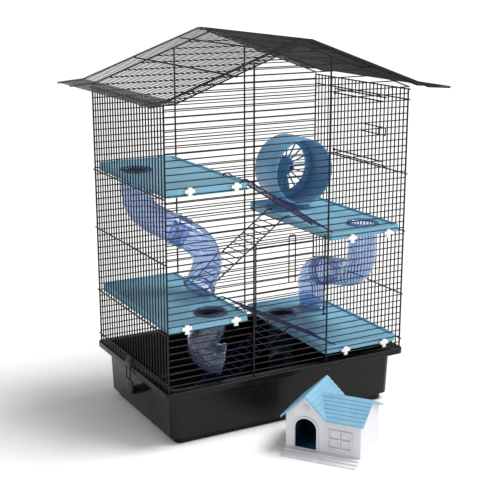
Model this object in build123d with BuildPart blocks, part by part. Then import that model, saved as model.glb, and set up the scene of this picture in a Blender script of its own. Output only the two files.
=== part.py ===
from build123d import *

import os
from math import ceil, cos, radians, sin, sqrt, tan

# Hamster cage with a deep tray, a wire top, four platforms, four ladders, climbing tubes,
# an exercise wheel and a small house. Millimetres, +Z up, origin at the middle of the
# underside of the tray, +X to the right of the front, +Y towards the back.

# ---- Wire body ----
cage_width = 478.0  # between the centres of the corner posts
cage_depth = 307.0
ridge_height = 689.5  # centre of the fine wires beside the ridge
roof_fall = 87.5  # from the ridge to the kink
roof_half = 241.0  # from the ridge to the kink, across
flare_reach = 48.0  # from the kink outwards
flare_fall = 4.0
roof_front_overhang = 55.0
roof_back_overhang = 45.0
roof_pitch = 4.4
roof_kink_radius = 12.0
ridge_gap = 2.0  # from the ridge to the ends of the roof supports
front_support_reach = 22.0  # supports outside the end panels
back_support_reach = 20.0
post_radius = 1.6
rail_radius = 1.25
row_radius = 1.0
fine_radius = 0.75
weld_gap = 0.02
seat_gap = 0.3
row_pitch = 11.7
first_row = 115.0
side_pitch = 11.8
mid_post_x = 75.0
side_post_drop = 3.0  # top of the side verticals under the gable
bottom_rail_z = 122.0
left_mid_rail = 330.0
right_mid_rail = 210.0
lengthwise_wires = (0.17, 0.565)  # share of the way from the ridge to the kink

# ---- Tray ----
rim_top = 105.6
rim_bottom = 94.4
rim_reach_x = 5.9  # outside the post line
rim_reach_y = 7.0
wall_inset_top = 9.0
wall_inset_foot = 12.0
foot_height = 13.0
foot_inset_x = 22.0
foot_inset_y = 20.0
tray_wall = 2.5
tray_floor = 3.0
tray_corner = 16.0
lip_clearance = 0.4  # between the wall and the pocket under the rim
hook_width = 30.0
hook_wall = 3.0
hook_base = 5.0
hook_top = 79.5
hook_drop = 24.0

# ---- Platforms ----
platform_width = 151.0
wide_platform_width = 158.0
platform_gap = 5.0  # from the post line to the platform
platform_border = 3.0
platform_recess = 4.0
platform_plate = 2.5
platform_skirt = 2.0
platform_flange = 1.0
flange_height = 1.5
platform_corner = 6.0
upper_left_top = 453.0
lower_left_top = 222.0
upper_right_top = 344.0
lower_right_top = 132.0
platform_height = 13.5
shelf_clip_width = 8.0
shelf_clip_height = 16.0
shelf_clip_bar = (18.0, 6.0)
shelf_clip_rise = 1.5  # of the bar over the middle of the clip
shelf_clip_stem = 4.0
shelf_clip_proud = 1.2  # outside the post line
left_clips = ((-194.0, -108.0), (-203.0, -110.0))  # upper, lower
right_clips = ((127.0, 206.0), (118.0, 204.0))

# ---- Tubes ----
tube_radius = 27.0
tube_wall = 2.0
tube_fit = 0.2
collar_wall = 3.0
collar_height = 4.0
joiner_wall = 2.2
joiner_length = 24.0
mouth_ring_wall = 3.0
mouth_ring_length = 6.0
upper_left_spot = (35.0, 89.5)  # holes in the platforms: in from the two nearest sides
lower_left_spot = (100.0, 45.0)
upper_right_spot = (48.0, 50.0)
lower_right_spot = (37.0, 80.0)
left_tube_drop = 77.0  # from the upper platform to the first corner
left_mouth_spot = (36.0, 121.0)  # in from the sides of the lower platform
left_mouth_way = (-0.62, -0.46, -0.64)
left_mouth_length = 88.0
left_joint_reach = 88.0  # from the first corner to the joint
left_tube_bends = (60.0, 48.0)
right_tube_drop = 100.0
right_mouth_spot = (48.0, 82.0)
right_mouth_way = (0.06, -0.13, -0.99)
right_mouth_length = 78.0
right_joint_reach = 124.0
right_tube_bends = (50.0, 42.0)
left_floor_drop = 32.0
left_floor_turn = (-28.0, 20.5, -49.0)
left_floor_run = (50.0, -25.0, -13.0)
left_floor_bend = 29.0
right_floor_height = 34.0
right_floor_run = (-21.0, -38.5, 0.0)
right_floor_bend = 36.0

# ---- Wheel ----
wheel_radius = 64.5
wheel_depth = 80.0
wheel_wall = 2.5
wheel_front_lip = 3.5
wheel_back_lip = 14.0
wheel_side = 92.0  # axis to the right post line
wheel_front = 198.5  # front rim behind the front post line
wheel_lift = 8.0  # rim above the platform's border
hub_inset = 6.0  # front of the hub plate in from the back rim
hub_plate = 3.0
hub_disc = 20.0
hub_reach = 24.0  # boss in front of the hub plate
boss_radius = 7.5
spoke_count = 18
spoke_width = 2.6
axle_radius = 3.0
axle_fit = 0.05
axle_end = 2.0  # past the stand
cap_wall = 1.0  # cap beyond the axle
cap_length = 4.0
stand_gap = 3.0
stand_thickness = 6.0
stand_ring = 6.0  # material round the axle
stand_foot = 24.0  # half the width of the foot
base_width = 64.0
base_height = 4.0
base_inset = 28.0  # front of the base behind the front rim

# ---- Ladders ----
ladder_width = 68.0
ladder_rail = 1.3
ladder_rung = 1.0
ladder_length = 208.0
rung_pitch = 13.5
hook_half = 4.6
ladder_foot_gap = 0.7  # under a foot that also passes a border

# ---- Doors ----
front_door_half = 70.0
front_door_rows = (8, 19)  # first and last row of wire in the door
right_door_posts = (7, 19)
right_door_low = 441.0
right_door_high = 565.0
door_rail_above = 7.0  # rails over and under the doorway
door_rail_below = 3.5
door_edge_rise = 3.0
door_stub = 2.0  # cut ends past the rails of the doorway
door_play_low = 7.0
door_play_high = 5.0
hinge_wall = 1.1
hinge_fit = 0.08
hinge_length = 5.0
latch_radius = 1.1
latch_gap = 0.1
latch_bend = 3.0
front_latch_half = 6.5
front_latch_rise = 3.5  # over the first fixed row
front_latch_length = 84.0
right_latch_z = (498.0, 512.0)
right_latch_reach = 3.3  # past the fixed vertical
right_latch_tail = 77.0
right_latch_bar = 19.0

# ---- Side clips ----
clip_half = 11.0
clip_reach = 3.6  # from the rim to the middle of the band
clip_loop_low = 82.5
clip_loop_inset = 2.5
clip_loop_bend = 4.0
clip_band_half = 1.6
clip_band_rise = 8.0  # where the band turns down over the rim
clip_ring_half = 1.5

# ---- House ----
house_corner = (-62.6, -243.4)
house_turn = -53.0
house_width = 134.0
house_depth = 97.0
house_wall = 2.5
house_floor = 2.0
house_shell = 3.0
house_overhang = 6.0
gable_middle = 36.0
gable_ridge = 107.0
gable_angle = 44.0
wing_ridge = 97.0
wing_angle = 26.6
wing_middle = 48.0
door_left = 16.6
door_right = 56.0
door_sill = 9.0
door_top = 64.0
window_left = 78.0
window_right = 117.0
window_low = 20.0
window_high = 50.0
window_recess = 1.0
step_depth = 27.0
step_height = 7.5
step_count = 3

os.makedirs("parts", exist_ok=True)

post_x = cage_width / 2
post_y = cage_depth / 2
wire_foot = rim_top + 0.4
row_y = post_y - post_radius - row_radius - weld_gap
rail_x = post_x + post_radius + rail_radius + weld_gap

roof_slope = roof_fall / roof_half
roof_lean = sqrt(1 + roof_slope**2)
support_drop = fine_radius + rail_radius + weld_gap
lengthwise_drop = support_drop + 2 * rail_radius + weld_gap
gable_drop = lengthwise_drop + 2 * rail_radius + weld_gap


def roof_z(x, drop):
    """Height of a line that runs a given distance under the roof slope."""
    return ridge_height - abs(x) * roof_slope - drop * roof_lean


gable_top = roof_z(0, gable_drop)
gable_side = roof_z(post_x, gable_drop)


def save(name, part):
    """Label a finished piece and write it to its own file."""
    part.label = name
    export_step(part, f"parts/{name}.step")


def add_wires(plane, spots, radius, length):
    """Straight parallel wires that start at spots on a plane."""
    with BuildSketch(plane) as ends:
        with Locations(*spots):
            Circle(radius)
    extrude(ends.sketch, amount=length)


def add_wire(start, end, radius):
    """One straight wire between two points."""
    run = Vector(*end) - Vector(*start)
    with Locations(Plane(origin=start, z_dir=run)):
        Cylinder(radius, run.length, align=(Align.CENTER, Align.CENTER, Align.MIN))


def add_bent_wire(points, bends, radius):
    """One wire bent at each inner point."""
    with BuildLine() as route:
        FilletPolyline(*points, radius=bends)
    with BuildSketch(Plane(origin=route.line @ 0, z_dir=route.line % 0)) as end:
        Circle(radius)
    sweep(end.sketch, path=route.line)


def row_height(index):
    return first_row + row_pitch * index


# ---------------------------------------------------------------- base tray
def rounded_level(height, inset_x, inset_y, corner):
    """A rounded rectangle at one height, inset from the post lines."""
    with BuildSketch(Plane.XY.offset(height)) as level:
        RectangleRounded(cage_width - 2 * inset_x, cage_depth - 2 * inset_y, corner)
    return level.sketch


def add_catch(side):
    """The moulded J-shaped catch under a side clip."""
    wall_x = post_x - wall_inset_foot
    lip_x = post_x + rim_reach_x + hook_wall
    outline = (
        (wall_x, hook_top - hook_drop),
        (lip_x, hook_top - hook_drop),
        (lip_x, hook_top),
        (lip_x - hook_wall, hook_top),
        (lip_x - hook_wall, hook_top - hook_drop + hook_base),
        (wall_x, hook_top - hook_drop + hook_base),
    )
    with BuildSketch(Plane.XZ.offset(-hook_width / 2)) as profile:
        with BuildLine():
            Polyline(*[(side * x, z) for x, z in outline], close=True)
        make_face()
    extrude(profile.sketch, amount=hook_width)


with BuildPart() as base_tray:
    loft([
        rounded_level(0, foot_inset_x, foot_inset_y, tray_corner - 4),
        rounded_level(foot_height, foot_inset_x - 1, foot_inset_y - 1, tray_corner - 4),
    ])
    loft([
        rounded_level(foot_height, wall_inset_foot, wall_inset_foot, tray_corner),
        rounded_level(rim_top, wall_inset_top, wall_inset_top, tray_corner),
    ])
    rim_outline = rounded_level(rim_bottom, -rim_reach_x, -rim_reach_y, tray_corner - 6)
    extrude(rim_outline, amount=rim_top - rim_bottom)
    add_catch(-1)
    add_catch(1)
    extrude(
        rounded_level(tray_floor, foot_inset_x + tray_wall, foot_inset_y + tray_wall, tray_corner - 6),
        amount=foot_height + tray_wall,
        mode=Mode.SUBTRACT,
    )
    inner_foot = wall_inset_foot + tray_wall
    inner_top = wall_inset_top + tray_wall
    loft([
        rounded_level(foot_height + tray_wall, inner_foot, inner_foot, tray_corner - tray_wall),
        rounded_level(rim_top + 1, inner_top, inner_top, tray_corner - tray_wall),
    ], mode=Mode.SUBTRACT)
    lip_width = cage_width + 2 * (rim_reach_x - tray_wall)
    lip_depth = cage_depth + 2 * (rim_reach_y - tray_wall)
    wall_width = cage_width - 2 * wall_inset_top + lip_clearance
    wall_depth = cage_depth - 2 * wall_inset_top + lip_clearance
    with BuildSketch(Plane.XY.offset(rim_bottom - 1)) as lip_pocket:
        RectangleRounded(lip_width, lip_depth, tray_corner - 8)
        RectangleRounded(wall_width, wall_depth, tray_corner, mode=Mode.SUBTRACT)
    extrude(lip_pocket.sketch, amount=rim_top - rim_bottom + 1 - tray_wall, mode=Mode.SUBTRACT)
save("base_tray", base_tray.part)


# ---------------------------------------------------------------- front and back panels
def add_end_panel(side, door):
    """Posts, rows of wire and gable of the front (-1) or back (1) panel."""
    posts_y = side * post_y
    add_wires(
        Plane.XY.offset(wire_foot),
        [(-post_x, posts_y), (post_x, posts_y)],
        post_radius,
        gable_side - rail_radius - weld_gap - post_radius - wire_foot,
    )
    mid_top = roof_z(mid_post_x, gable_drop) - (rail_radius + weld_gap + post_radius) * roof_lean
    add_wires(
        Plane.XY.offset(wire_foot),
        [(-mid_post_x, posts_y), (mid_post_x, posts_y)],
        post_radius,
        mid_top - wire_foot,
    )
    for direction in (-1, 1):
        add_wire(
            (direction * (post_x + post_radius), posts_y, roof_z(post_x + post_radius, gable_drop)),
            (direction * rail_radius, posts_y, roof_z(rail_radius, gable_drop)),
            rail_radius,
        )
    rows_plane = Plane(origin=(-post_x, 0, 0), x_dir=(0, 1, 0), z_dir=(1, 0, 0))
    door_rows = range(front_door_rows[0], front_door_rows[1] + 1) if door else range(0)
    full_rows = []
    index = 0
    while row_height(index) < gable_side:
        if index not in door_rows:
            full_rows.append((side * row_y, row_height(index)))
        index += 1
    add_wires(rows_plane, full_rows, row_radius, cage_width)
    if door:
        spots = [(side * row_y, row_height(row)) for row in door_rows]
        add_wires(rows_plane, spots, row_radius, post_x - mid_post_x + post_radius)
        right_plane = rows_plane.offset(post_x + mid_post_x - post_radius)
        add_wires(right_plane, spots, row_radius, post_x - mid_post_x + post_radius)
    while row_height(index) < gable_top - 2 * row_pitch / 3:
        half = (gable_top - row_height(index)) / roof_slope
        add_wires(rows_plane.offset(post_x - half), [(side * row_y, row_height(index))], row_radius, 2 * half)
        index += 1


with BuildPart() as front_panel:
    add_end_panel(-1, True)
save("front_panel", front_panel.part)

with BuildPart() as back_panel:
    add_end_panel(1, False)
save("back_panel", back_panel.part)

# ---------------------------------------------------------------- side panels
side_count = round(cage_depth / side_pitch)
side_step = cage_depth / side_count
side_top = gable_side - side_post_drop
top_rail_z = side_top - 2.0


def side_y(index):
    return -post_y + side_step * index


def add_rail(side, height, start_y, end_y):
    add_wire((side * rail_x, start_y, height), (side * rail_x, end_y, height), rail_radius)


with BuildPart() as left_panel:
    spots = [(-post_x, side_y(index)) for index in range(1, side_count)]
    add_wires(Plane.XY.offset(wire_foot), spots, rail_radius, side_top - wire_foot)
    left_shelf_rails = (upper_left_top - platform_height, lower_left_top - platform_height)
    for height in (top_rail_z, *left_shelf_rails, left_mid_rail, bottom_rail_z):
        add_rail(-1, height, -post_y - post_radius, post_y + post_radius)
save("left_panel", left_panel.part)

door_indices = range(right_door_posts[0], right_door_posts[1] + 1)
door_start_y = side_y(right_door_posts[0] - 1)
door_end_y = side_y(right_door_posts[1] + 1)

with BuildPart() as right_panel:
    full = [(post_x, side_y(index)) for index in range(1, side_count) if index not in door_indices]
    add_wires(Plane.XY.offset(wire_foot), full, rail_radius, side_top - wire_foot)
    split_spots = [(post_x, side_y(index)) for index in door_indices]
    add_wires(Plane.XY.offset(wire_foot), split_spots, rail_radius, right_door_low + door_stub - wire_foot)
    add_wires(Plane.XY.offset(right_door_high), split_spots, rail_radius, side_top - right_door_high)
    door_rails = (right_door_high + door_rail_above, right_door_low - door_rail_below)
    for height in (top_rail_z, *door_rails, upper_right_top - platform_height, right_mid_rail, bottom_rail_z):
        add_rail(1, height, -post_y - post_radius, post_y + post_radius)
    for height in (right_door_high + door_edge_rise, right_door_low):
        add_rail(1, height, door_start_y - door_stub, door_end_y + door_stub)
save("right_panel", right_panel.part)


# ---------------------------------------------------------------- roof
def roof_corners(drop):
    """Ridge, kink and edge of a line under the roof, as distances from the ridge and heights."""
    first_normal = Vector(roof_fall, roof_half).normalized()
    second_normal = Vector(flare_fall, flare_reach).normalized()
    kink_shift = (first_normal + second_normal) * (1 / (1 + first_normal.dot(second_normal)))
    ridge = Vector(0, ridge_height) - first_normal * drop
    kink = Vector(roof_half, ridge_height - roof_fall) - kink_shift * drop
    edge = Vector(roof_half + flare_reach, ridge_height - roof_fall - flare_fall) - second_normal * drop
    start = ridge + (kink - ridge).normalized() * ridge_gap
    return start, kink, edge


roof_front = -post_y - roof_front_overhang
roof_back = post_y + roof_back_overhang
roof_supports = (
    roof_front + rail_radius,
    -post_y - front_support_reach,
    post_y - back_support_reach,
    roof_back - rail_radius,
)


def add_roof(side):
    """One slope of the roof with its flare."""
    with BuildLine() as outline:
        FilletPolyline(*[(p.X, p.Y) for p in roof_corners(0)], radius=roof_kink_radius)
    surface = Wire(outline.edges())
    count = int((surface.length - roof_pitch / 2) / roof_pitch) + 1
    step = (surface.length - roof_pitch / 2) / (count - 1)
    distances = [roof_pitch / 2 + step * index for index in range(count)]
    tops = [surface.position_at(distance, position_mode=PositionMode.LENGTH) for distance in distances]
    front_plane = Plane(origin=(0, roof_front, 0), x_dir=(1, 0, 0), z_dir=(0, -1, 0))
    add_wires(front_plane, [(side * spot.X, spot.Y) for spot in tops], fine_radius, roof_front - roof_back)
    start, kink, edge = roof_corners(support_drop)
    for place in roof_supports:
        points = [(side * p.X, place, p.Y) for p in (start, kink, edge)]
        add_bent_wire(points, roof_kink_radius + support_drop, rail_radius)
    spots = [(side * share * roof_half, roof_z(share * roof_half, lengthwise_drop)) for share in lengthwise_wires]
    add_wires(front_plane, spots, rail_radius, roof_front - roof_back)


with BuildPart() as roof_left:
    add_roof(-1)
save("roof_left", roof_left.part)

with BuildPart() as roof_right:
    add_roof(1)
save("roof_right", roof_right.part)

with BuildPart() as ridge_wire:
    ridge_z = roof_z(0, lengthwise_drop) - rail_radius / 2
    add_wire((0, roof_front, ridge_z), (0, roof_back, ridge_z), rail_radius)
save("ridge_wire", ridge_wire.part)

# ---------------------------------------------------------------- front door and latch
door_axis_z = row_height(front_door_rows[0] - 1)
door_top_z = row_height(front_door_rows[1]) + row_pitch / 2
door_row_y = row_y + rail_radius + row_radius + weld_gap


def add_hinge_ring(centre, direction, inner, length):
    """A short sleeve round a wire."""
    with BuildSketch(Plane(origin=centre, z_dir=direction)) as ring:
        Circle(inner + hinge_wall)
        Circle(inner, mode=Mode.SUBTRACT)
    extrude(ring.sketch, amount=length / 2, both=True)


with BuildPart() as front_door:
    for side in (-1, 1):
        foot = (side * front_door_half, -row_y, door_axis_z + row_radius + hinge_fit + hinge_wall / 2)
        add_wire(foot, (side * front_door_half, -row_y, door_top_z), rail_radius)
        ring_spot = (side * front_door_half, -row_y, door_axis_z)
        add_hinge_ring(ring_spot, (1, 0, 0), row_radius + hinge_fit, hinge_length)
    rows = [(-door_row_y, row_height(row)) for row in range(front_door_rows[0], front_door_rows[1] + 1)]
    rows.append((-door_row_y, door_top_z - rail_radius))
    door_plane = Plane(origin=(-front_door_half - rail_radius, 0, 0), x_dir=(0, 1, 0), z_dir=(1, 0, 0))
    add_wires(door_plane, rows, row_radius, 2 * (front_door_half + rail_radius))
save("front_door", front_door.part)

front_latch_y = -door_row_y - row_radius - latch_radius - latch_gap
with BuildPart() as front_latch:
    latch_top = row_height(front_door_rows[1] + 1) + front_latch_rise
    latch_foot = latch_top - front_latch_length
    add_bent_wire(
        [
            (-front_latch_half, front_latch_y, latch_foot),
            (-front_latch_half, front_latch_y, latch_top),
            (front_latch_half, front_latch_y, latch_top),
            (front_latch_half, front_latch_y, latch_foot),
        ],
        latch_bend,
        latch_radius,
    )
save("front_latch", front_latch.part)

# ---------------------------------------------------------------- right door and latch
right_axis_y = door_end_y
right_rail_x = post_x + 2 * rail_radius + weld_gap
with BuildPart() as right_door:
    low = right_door_low + door_play_low
    high = right_door_high - door_play_high
    spots = [(post_x, side_y(index)) for index in door_indices]
    add_wires(Plane.XY.offset(low - 3), spots, rail_radius, high - low + 6)
    for height in (low, high):
        add_wire((right_rail_x, door_start_y + 4, height), (right_rail_x, right_axis_y, height), rail_radius)
        add_hinge_ring((post_x, right_axis_y, height), (0, 0, 1), rail_radius + hinge_fit, hinge_length)
save("right_door", right_door.part)

right_latch_x = post_x + rail_radius + latch_radius + latch_gap
with BuildPart() as right_latch:
    latch_tip = door_start_y - right_latch_reach
    latch_tail = door_start_y + right_latch_tail
    add_bent_wire(
        [
            (right_latch_x, latch_tail, right_latch_z[0]),
            (right_latch_x, latch_tip, right_latch_z[0]),
            (right_latch_x, latch_tip, right_latch_z[1]),
            (right_latch_x, latch_tail, right_latch_z[1]),
        ],
        latch_bend,
        latch_radius,
    )
    add_wire(
        (right_latch_x, door_start_y + right_latch_bar, right_latch_z[0]),
        (right_latch_x, door_start_y + right_latch_bar, right_latch_z[1]),
        latch_radius * 0.8,
    )
save("right_latch", right_latch.part)

# ---------------------------------------------------------------- side clips
clip_drop_x = post_x + rim_reach_x + clip_reach


def add_clip_band(side):
    """The band that hangs on the bottom rail and reaches over the rim."""
    for place in (-side_step / 2, side_step / 2):
        ring_spot = (side * rail_x, place, bottom_rail_z)
        add_hinge_ring(ring_spot, (0, 1, 0), rail_radius + hinge_fit, hinge_length)
    ring_out = rail_x + rail_radius + hinge_fit + hinge_wall / 2
    outline = (
        (ring_out, bottom_rail_z + clip_ring_half),
        (clip_drop_x + clip_band_half, rim_top + clip_band_rise),
        (clip_drop_x + clip_band_half, rim_top - 1),
        (clip_drop_x - clip_band_half, rim_top - 1),
        (clip_drop_x - clip_band_half, rim_top + clip_band_rise - clip_ring_half),
        (ring_out, bottom_rail_z - clip_ring_half),
    )
    with BuildSketch(Plane.XZ.offset(-clip_half)) as profile:
        with BuildLine():
            Polyline(*[(side * x, z) for x, z in outline], close=True)
        make_face()
    extrude(profile.sketch, amount=2 * clip_half)


def add_clip_loop(side):
    """The wire loop under the band."""
    x = side * clip_drop_x
    add_bent_wire(
        [
            (x, -clip_half + clip_loop_inset, rim_top - 1),
            (x, -clip_half + clip_loop_inset, clip_loop_low),
            (x, clip_half - clip_loop_inset, clip_loop_low),
            (x, clip_half - clip_loop_inset, rim_top - 1),
        ],
        clip_loop_bend,
        rail_radius,
    )


for side, side_name in ((-1, "left"), (1, "right")):
    with BuildPart() as clip_band:
        add_clip_band(side)
    save(f"{side_name}_clip_band", clip_band.part)
    with BuildPart() as clip_loop:
        add_clip_loop(side)
    save(f"{side_name}_clip_loop", clip_loop.part)


# ---------------------------------------------------------------- platforms and their clips
platform_y = post_y - platform_gap


def platform_floor(top):
    return top - platform_recess


def make_platform(name, inner_x, outer_x, top, hole):
    """A tray-like shelf with a raised border, a skirt and a hole for a tube."""
    centre_x = (inner_x + outer_x) / 2
    width = abs(outer_x - inner_x)
    depth = 2 * platform_y
    bottom = top - platform_height
    with BuildPart() as platform:
        with BuildSketch(Plane.XY.offset(bottom)):
            with Locations((centre_x, 0)):
                RectangleRounded(width, depth, platform_corner)
        extrude(amount=platform_height)
        with BuildSketch(Plane.XY.offset(bottom)):
            with Locations((centre_x, 0)):
                RectangleRounded(width + 2 * platform_flange, depth + 2 * platform_flange, platform_corner)
        extrude(amount=flange_height)
        with BuildSketch(Plane.XY.offset(platform_floor(top))):
            with Locations((centre_x, 0)):
                RectangleRounded(width - 2 * platform_border, depth - 2 * platform_border, platform_corner - 3)
        extrude(amount=platform_recess, mode=Mode.SUBTRACT)
        with BuildSketch(Plane.XY.offset(bottom)):
            with Locations((centre_x, 0)):
                RectangleRounded(width - 2 * platform_skirt, depth - 2 * platform_skirt, platform_corner - 2)
        extrude(amount=platform_height - platform_recess - platform_plate, mode=Mode.SUBTRACT)
        with BuildSketch(Plane.XY.offset(bottom)):
            with Locations(hole):
                Circle(tube_radius + tube_fit)
        extrude(amount=platform_height, mode=Mode.SUBTRACT)
    save(name, platform.part)


def make_platform_clips(name, xs, top):
    """White cross-shaped clips that hold a platform to the front and back wires."""
    bottom = top - platform_height
    gap_index = ceil((bottom - flange_height / 3 - first_row) / row_pitch - 0.5)
    height = row_height(gap_index + 0.5)
    outer_y = post_y + shelf_clip_proud
    wire_y = row_y + row_radius + weld_gap + latch_gap
    stem_y = platform_y
    if height - shelf_clip_stem / 2 < bottom + flange_height:
        stem_y = platform_y + platform_flange + weld_gap
    cross_y = (wire_y + outer_y) / 2
    with BuildPart() as clips:
        for side in (-1, 1):
            for x in xs:
                with Locations((x, side * (stem_y + wire_y) / 2, height)):
                    Box(shelf_clip_width, wire_y - stem_y, shelf_clip_stem)
                with Locations((x, side * cross_y, height - shelf_clip_rise)):
                    Box(shelf_clip_width, outer_y - wire_y, shelf_clip_height)
                with Locations((x, side * cross_y, height)):
                    Box(shelf_clip_bar[0], outer_y - wire_y, shelf_clip_bar[1])
    save(name, clips.part)


left_outer = -post_x + platform_gap
right_outer = post_x - platform_gap
left_inner = left_outer + platform_width
right_inner = right_outer - platform_width
wide_inner = right_outer - wide_platform_width

upper_left_hole = (left_outer + upper_left_spot[0], platform_y - upper_left_spot[1])
lower_left_hole = (left_outer + lower_left_spot[0], -platform_y + lower_left_spot[1])
upper_right_hole = (right_outer - upper_right_spot[0], -platform_y + upper_right_spot[1])
lower_right_hole = (wide_inner + lower_right_spot[0], platform_y - lower_right_spot[1])

platform_list = (
    ("upper_left", left_inner, left_outer, upper_left_top, upper_left_hole, left_clips[0]),
    ("lower_left", left_inner, left_outer, lower_left_top, lower_left_hole, left_clips[1]),
    ("upper_right", right_inner, right_outer, upper_right_top, upper_right_hole, right_clips[0]),
    ("lower_right", wide_inner, right_outer, lower_right_top, lower_right_hole, right_clips[1]),
)
for place, inner_x, outer_x, top, hole, clip_xs in platform_list:
    make_platform(f"platform_{place}", inner_x, outer_x, top, hole)
    make_platform_clips(f"platform_clips_{place}", clip_xs, top)


# ---------------------------------------------------------------- tubes
def make_ring(name, centre, direction, inner, wall, length):
    with BuildPart() as ring:
        with BuildSketch(Plane(origin=centre, z_dir=direction)):
            Circle(inner + wall)
            Circle(inner, mode=Mode.SUBTRACT)
        extrude(amount=length)
    save(name, ring.part)


def make_tube(name, points, bends):
    """A bent clear tube through corner points."""
    with BuildPart() as tube:
        with BuildLine() as route:
            FilletPolyline(*points, radius=bends)
        with BuildSketch(Plane(origin=route.line @ 0, z_dir=route.line % 0)):
            Circle(tube_radius)
            Circle(tube_radius - tube_wall, mode=Mode.SUBTRACT)
        sweep(path=route.line)
    save(name, tube.part)


def along(start, end, distance):
    """The point a given distance from one point towards another."""
    return start + (end - start).normalized() * distance


def tube_top(hole, top):
    return Vector(hole[0], hole[1], platform_floor(top) + collar_height)


def mouth_height(top, way):
    """Height of a leaning mouth whose ring rests on the floor of a platform."""
    lean = sqrt(1 - way.Z**2)
    return platform_floor(top) + seat_gap + (tube_radius + tube_fit + mouth_ring_wall) * lean


# Left climbing tube: from the upper left platform to the lower left one.
left_start = tube_top(upper_left_hole, upper_left_top)
left_corner = Vector(left_start.X, left_start.Y, upper_left_top - left_tube_drop)
left_way = Vector(*left_mouth_way).normalized()
left_mouth = Vector(
    left_inner - left_mouth_spot[0],
    -platform_y + left_mouth_spot[1],
    mouth_height(lower_left_top, left_way),
)
left_elbow = left_mouth - left_way * left_mouth_length
left_joint = along(left_corner, left_elbow, left_joint_reach)
make_tube("left_tube_upper", (left_start, left_corner, left_joint), left_tube_bends[0])
make_tube("left_tube_lower", (left_joint, left_elbow, left_mouth), left_tube_bends[1])

# Right climbing tube: from the upper right platform back and down to the lower right one.
right_start = tube_top(upper_right_hole, upper_right_top)
right_corner = Vector(right_start.X, right_start.Y, upper_right_top - right_tube_drop)
right_way = Vector(*right_mouth_way).normalized()
right_mouth = Vector(
    right_outer - right_mouth_spot[0],
    platform_y - right_mouth_spot[1],
    mouth_height(lower_right_top, right_way),
)
right_elbow = right_mouth - right_way * right_mouth_length
right_joint = along(right_corner, right_elbow, right_joint_reach)
make_tube("right_tube_upper", (right_start, right_corner, right_joint), right_tube_bends[0])
make_tube("right_tube_lower", (right_joint, right_elbow, right_mouth), right_tube_bends[1])

# Elbows under the two lower platforms.
left_floor_start = tube_top(lower_left_hole, lower_left_top)
left_floor_corner = Vector(left_floor_start.X, left_floor_start.Y, lower_left_top - left_floor_drop)
left_floor_elbow = left_floor_corner + Vector(*left_floor_turn)
left_floor_mouth = left_floor_elbow + Vector(*left_floor_run)
left_floor_route = (left_floor_start, left_floor_corner, left_floor_elbow, left_floor_mouth)
make_tube("left_floor_elbow", left_floor_route, (left_floor_bend, left_floor_bend))
right_floor_start = tube_top(lower_right_hole, lower_right_top)
right_floor_corner = Vector(right_floor_start.X, right_floor_start.Y, right_floor_height)
right_floor_mouth = right_floor_corner + Vector(*right_floor_run)
make_tube("right_floor_elbow", (right_floor_start, right_floor_corner, right_floor_mouth), right_floor_bend)


def make_joiner(name, centre, direction):
    start = centre - direction * (joiner_length / 2)
    make_ring(name, start, direction, tube_radius + tube_fit, joiner_wall, joiner_length)


make_joiner("left_tube_joiner", left_joint, (left_elbow - left_corner).normalized())
make_joiner("right_tube_joiner", right_joint, (right_elbow - right_corner).normalized())

for place, _, _, top, hole, _ in platform_list:
    seat = (hole[0], hole[1], platform_floor(top))
    make_ring(f"tube_collar_{place}", seat, (0, 0, 1), tube_radius + tube_fit, collar_wall, collar_height)


def make_mouth_ring(name, corner, mouth):
    way = (corner - mouth).normalized()
    make_ring(name, mouth, way, tube_radius + tube_fit, mouth_ring_wall, mouth_ring_length)


make_mouth_ring("mouth_ring_left", left_elbow, left_mouth)
make_mouth_ring("mouth_ring_right", right_elbow, right_mouth)
make_mouth_ring("mouth_ring_left_floor", left_floor_elbow, left_floor_mouth)
make_mouth_ring("mouth_ring_right_floor", right_floor_corner, right_floor_mouth)

# ---------------------------------------------------------------- exercise wheel
wheel_x = post_x - wheel_side
wheel_z = upper_right_top + wheel_lift + wheel_radius
wheel_start_y = -post_y + wheel_front
wheel_end_y = wheel_start_y + wheel_depth
hub_y = wheel_end_y - hub_inset
boss_front = hub_y - hub_reach


def wheel_plane(y):
    """A plane square to the axle, facing the back."""
    return Plane(origin=(wheel_x, y, wheel_z), x_dir=(-1, 0, 0), z_dir=(0, 1, 0))


def add_disc(y, outer, inner, thickness):
    with BuildSketch(wheel_plane(y)) as disc:
        Circle(outer)
        if inner > 0:
            Circle(inner, mode=Mode.SUBTRACT)
    extrude(disc.sketch, amount=thickness)


with BuildPart() as wheel_drum:
    add_disc(wheel_start_y, wheel_radius, wheel_radius - wheel_wall, wheel_depth)
    add_disc(wheel_start_y, wheel_radius, wheel_radius - wheel_front_lip, wheel_wall)
    add_disc(wheel_end_y - wheel_wall, wheel_radius, wheel_radius - wheel_back_lip, wheel_wall)
save("wheel_drum", wheel_drum.part)

with BuildPart() as wheel_hub:
    rim_outer = wheel_radius - wheel_wall - latch_gap
    rim_inner = wheel_radius - wheel_back_lip
    add_disc(hub_y, rim_outer, rim_inner, hub_plate)
    add_disc(hub_y, hub_disc, 0, hub_plate)
    with Locations(wheel_plane(boss_front)):
        Cone(boss_radius, hub_disc - 1, hub_reach, align=(Align.CENTER, Align.CENTER, Align.MIN))
    with BuildSketch(wheel_plane(hub_y)) as spokes:
        with PolarLocations((hub_disc + rim_inner) / 2, spoke_count):
            Rectangle(rim_inner - hub_disc + 2, spoke_width)
    extrude(spokes.sketch, amount=hub_plate)
    with BuildSketch(wheel_plane(boss_front)) as bore:
        Circle(axle_radius + axle_fit)
    extrude(bore.sketch, amount=hub_y - boss_front + hub_plate, mode=Mode.SUBTRACT)
save("wheel_hub", wheel_hub.part)

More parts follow.
